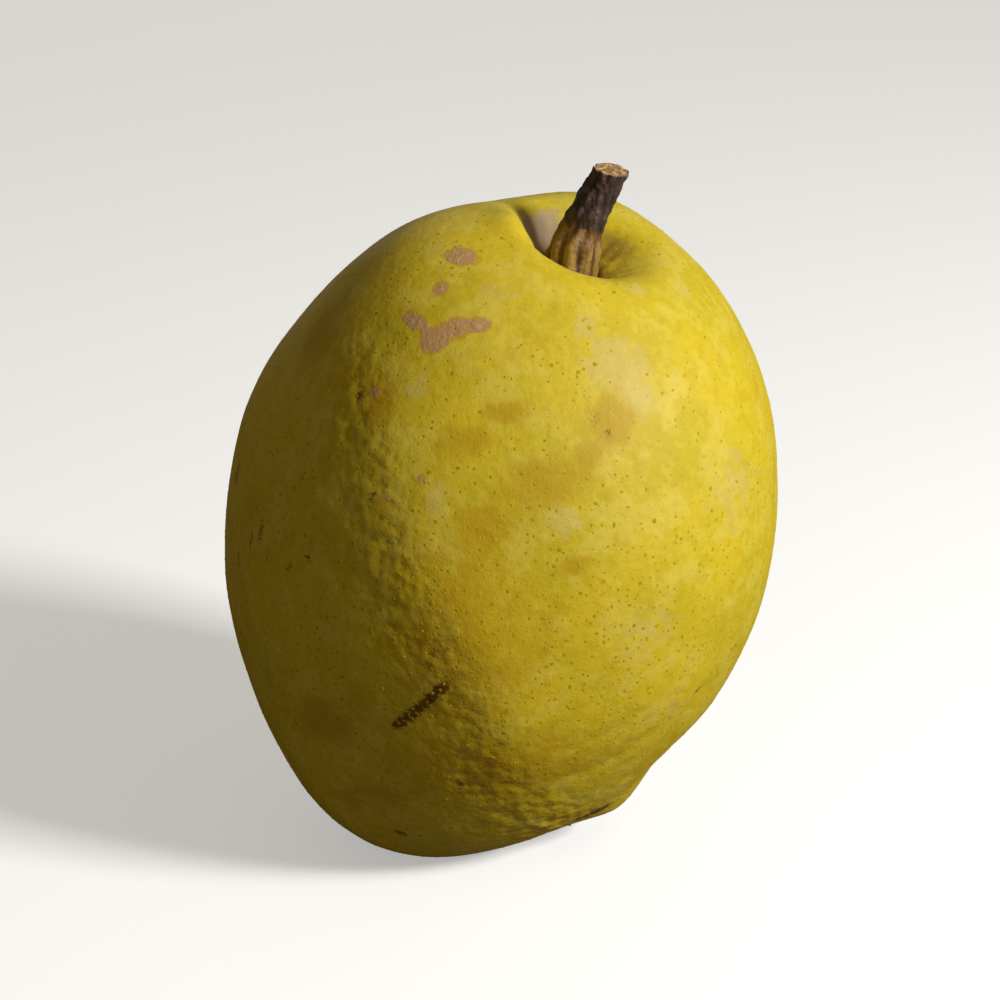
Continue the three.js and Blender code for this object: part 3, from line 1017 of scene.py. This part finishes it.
def speck_tree(material):
    """Scatters low corky buttons over the skin, close together where it is speckled most."""
    tree = bpy.data.node_groups.new("Specks", "GeometryNodeTree")
    for title, kind, way in (
        ("Skin", "NodeSocketGeometry", "INPUT"),
        ("Spacing", "NodeSocketFloat", "INPUT"),
        ("Density", "NodeSocketFloat", "INPUT"),
        ("Smallest", "NodeSocketFloat", "INPUT"),
        ("Largest", "NodeSocketFloat", "INPUT"),
        ("Seed", "NodeSocketInt", "INPUT"),
        ("Specks", "NodeSocketGeometry", "OUTPUT"),
    ):
        tree.interface.new_socket(title, in_out=way, socket_type=kind)
    given = tree.nodes.new("NodeGroupInput").outputs
    result = tree.nodes.new("NodeGroupOutput")
    cover = add(tree, "GeometryNodeInputNamedAttribute", {"Name": "speck"}, data_type="FLOAT")
    scatter = add(tree, "GeometryNodeDistributePointsOnFaces", {
        "Mesh": given["Skin"], "Distance Min": given["Spacing"], "Density Max": given["Density"],
        "Density Factor": cover.outputs["Attribute"], "Seed": given["Seed"],
    }, distribute_method="POISSON")
    button = add(tree, "GeometryNodeMeshCone", {
        "Vertices": 7, "Radius Top": 0.7, "Radius Bottom": 1.0, "Depth": 0.2,
    })
    lowered = add(tree, "GeometryNodeTransform", {
        "Geometry": button.outputs["Mesh"], "Translation": (0.0, 0.0, -0.08),
    })
    size = add(tree, "FunctionNodeRandomValue", data_type="FLOAT")
    tree.links.new(given["Smallest"], size.inputs[2])
    tree.links.new(given["Largest"], size.inputs[3])
    tree.links.new(given["Seed"], size.inputs["Seed"])
    uneven = add(tree, "FunctionNodeRandomValue", {
        0: (0.7, 0.7, 0.9), 1: (1.3, 1.3, 1.1), "Seed": 5,
    }, data_type="FLOAT_VECTOR")
    shape = add(tree, "ShaderNodeVectorMath", {
        0: uneven.outputs[0], "Scale": size.outputs[1],
    }, operation="SCALE")
    placed = add(tree, "GeometryNodeInstanceOnPoints", {
        "Points": scatter.outputs["Points"], "Instance": lowered.outputs["Geometry"],
        "Rotation": scatter.outputs["Rotation"], "Scale": shape.outputs[0],
    })
    solid = add(tree, "GeometryNodeRealizeInstances", {"Geometry": placed.outputs["Instances"]})
    finished = add(tree, "GeometryNodeSetMaterial", {
        "Geometry": solid.outputs["Geometry"], "Material": material,
    })
    tree.links.new(finished.outputs["Geometry"], result.inputs["Specks"])
    return tree


class PEAR_OT_specks(bpy.types.Operator):
    """Scatters the corky specks over the skin"""

    bl_idname = "pear.specks"
    bl_label = "Specks"

    def execute(self, context):
        settings = context.scene.pear_specks
        piece = bpy.data.objects.new("specks", bpy.data.objects["skin"].data)
        context.scene.collection.objects.link(piece)
        modifier = piece.modifiers.new("scatter", "NODES")
        tree = speck_tree(speck_material())
        values = {
            "Spacing": settings.spacing, "Density": settings.density,
            "Smallest": settings.smallest, "Largest": settings.largest, "Seed": settings.seed,
        }
        modifier.node_group = tree
        for socket in tree.interface.items_tree:
            if socket.name in values:
                modifier[socket.identifier] = values[socket.name]
        baked(piece)
        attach(piece, BODY)
        return {"FINISHED"}


# ---------- the stage ----------

def stage_material():
    """A pale floor that throws little light back up at the fruit."""
    material, tree, shader = new_material("pale_floor")
    shader.inputs["Base Color"].default_value = (0.83, 0.83, 0.82, 1)
    shader.inputs["Roughness"].default_value = 0.9
    shader.inputs["Specular IOR Level"].default_value = 0.1
    shader.inputs["Emission Color"].default_value = (1.0, 1.0, 0.99, 1)
    shader.inputs["Emission Strength"].default_value = 0.4
    dark = add(tree, "ShaderNodeBsdfDiffuse", {"Color": (0.17, 0.14, 0.09, 1)})
    seen = add(tree, "ShaderNodeLightPath").outputs["Is Camera Ray"]
    either = add(tree, "ShaderNodeMixShader", {0: seen, 1: dark.outputs[0], 2: shader.outputs[0]})
    tree.links.new(either.outputs[0], tree.nodes["Material Output"].inputs["Surface"])
    return material


def area_light(lamp, power):
    """A soft square light that faces the fruit from a direction."""
    towards = direction(lamp.azimuth, lamp.elevation)
    shine = bpy.data.lights.new(lamp.name, "AREA")
    shine.energy = power
    shine.size = lamp.size
    shine.color = lamp.colour
    light = bpy.data.objects.new(lamp.name, shine)
    light.location = MIDDLE + towards.normalized() * lamp.distance
    light.rotation_euler = towards.to_track_quat("Z", "Y").to_euler()
    bpy.context.scene.collection.objects.link(light)


def studio_world(scene):
    """A pale surround that lights the fruit only a little."""
    world = bpy.data.worlds.new("studio")
    world.use_nodes = True
    tree = world.node_tree
    shown = tree.nodes["Background"]
    shown.inputs["Color"].default_value = (0.93, 0.93, 0.93, 1)
    dim = add(tree, "ShaderNodeBackground", {"Color": (1.0, 0.84, 0.58, 1), "Strength": 0.13})
    seen = add(tree, "ShaderNodeLightPath").outputs["Is Camera Ray"]
    either = add(tree, "ShaderNodeMixShader", {0: seen, 1: dim.outputs[0], 2: shown.outputs[0]})
    tree.links.new(either.outputs[0], tree.nodes["World Output"].inputs["Surface"])
    scene.world = world


class PEAR_OT_stage(bpy.types.Operator):
    """Sets up the pale floor, the soft lights and the camera"""

    bl_idname = "pear.stage"
    bl_label = "Stage"

    def execute(self, context):
        scene = context.scene
        settings = scene.pear_stage
        bpy.ops.mesh.primitive_plane_add(size=8)
        floor = context.object
        floor.name = "floor"
        floor.data.materials.append(stage_material())

        area_light(KEY_LAMP, settings.key)
        area_light(FILL_LAMP, settings.fill)
        area_light(BACK_LAMP, settings.back)
        studio_world(scene)

        back = direction(0, math.degrees(settings.height))
        upward = Vector((0, math.sin(settings.height), math.cos(settings.height)))
        lens = bpy.data.cameras.new("camera")
        lens.lens = 100
        lens.clip_start = 0.01
        camera = bpy.data.objects.new("camera", lens)
        camera.location = MIDDLE + upward * settings.aim + back * settings.distance
        camera.rotation_euler = back.to_track_quat("Z", "Y").to_euler()
        scene.collection.objects.link(camera)
        scene.camera = camera
        scene.view_settings.view_transform = "Standard"
        return {"FINISHED"}


# ---------- the add-on ----------

class PEAR_PT_panel(bpy.types.Panel):
    """Lists the parts of the pear and their settings"""

    bl_idname = "PEAR_PT_panel"
    bl_label = "Pear"
    bl_space_type = "VIEW_3D"
    bl_region_type = "UI"
    bl_category = "Pear"

    def draw(self, context):
        for operator, group in PARTS:
            box = self.layout.box()
            box.operator(operator)
            settings = getattr(context.scene, group, None)
            for name in getattr(settings, "__annotations__", ()):
                box.prop(settings, name)


PARTS = (
    ("pear.skin", "pear_skin"),
    ("pear.specks", "pear_specks"),
    ("pear.stem", "pear_stem"),
    ("pear.calyx", ""),
    ("pear.stage", "pear_stage"),
)
GROUPS = {
    "pear_skin": SkinSettings,
    "pear_specks": SpeckSettings,
    "pear_stem": StemSettings,
    "pear_stage": StageSettings,
}
CLASSES = (
    *GROUPS.values(), PEAR_OT_skin, PEAR_OT_specks, PEAR_OT_stem, PEAR_OT_calyx, PEAR_OT_stage,
    PEAR_PT_panel,
)


def register():
    """Makes the operators, the panel and the settings known to Blender."""
    for cls in CLASSES:
        bpy.utils.register_class(cls)
    for name, group in GROUPS.items():
        setattr(bpy.types.Scene, name, PointerProperty(type=group))


def unregister():
    """Takes away what register added."""
    for name in GROUPS:
        delattr(bpy.types.Scene, name)
    for cls in reversed(CLASSES):
        bpy.utils.unregister_class(cls)


def main():
    """Builds every piece and the stage."""
    register()
    bpy.ops.pear.skin()
    bpy.ops.pear.specks()
    bpy.ops.pear.stem()
    bpy.ops.pear.calyx()
    bpy.ops.pear.stage()


if __name__ == "__main__":
    main()
